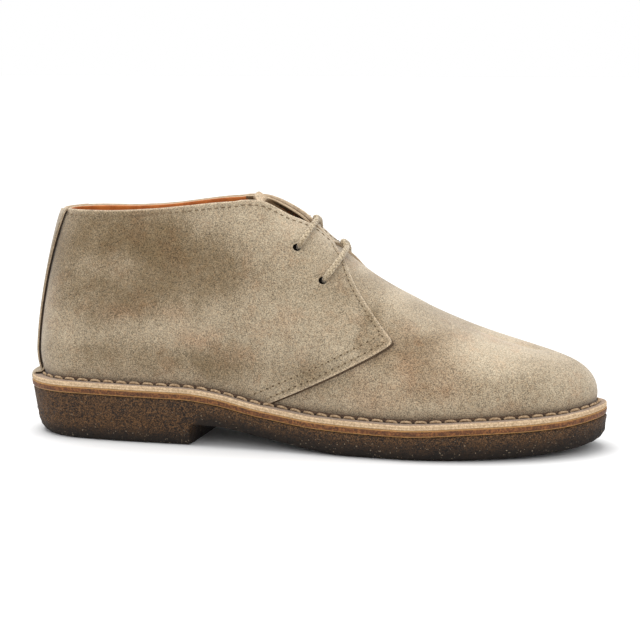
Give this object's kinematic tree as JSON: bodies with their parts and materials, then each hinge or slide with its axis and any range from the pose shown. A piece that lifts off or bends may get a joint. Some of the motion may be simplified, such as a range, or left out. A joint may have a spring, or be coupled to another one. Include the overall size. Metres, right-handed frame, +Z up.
{
  "type": "chukka boot",
  "caption": "Right ankle-high suede chukka boot with open lacing, stitched-down edge, crepe runner and block heel, standing empty on its sole.",
  "frame": {"origin": "centre of the boot's box on the floor plane it stands on", "axes": "+X to the toe, +Y to the inner (medial) side of the right foot, +Z up"},
  "size_m": [0.3, 0.1076, 0.126],
  "materials": {
    "suede": "napped sand suede, matt, with pale raw cut edges and tan leather lining",
    "lining": "smooth tan leather sock, half matt",
    "midsole": "stained orange-brown leather edge, half matt",
    "crepe": "dark brown natural crepe rubber, pitted and rough, a little translucent at its edges",
    "lace": "waxed beige cord, matt"
  },
  "bodies": {
    "root": {"upper": "suede", "back_strip": "suede", "tongue": "suede", "insole": "lining", "midsole": "midsole", "outsole": "crepe", "heel": "crepe", "lace": "lace"}
  },
  "joints": []
}
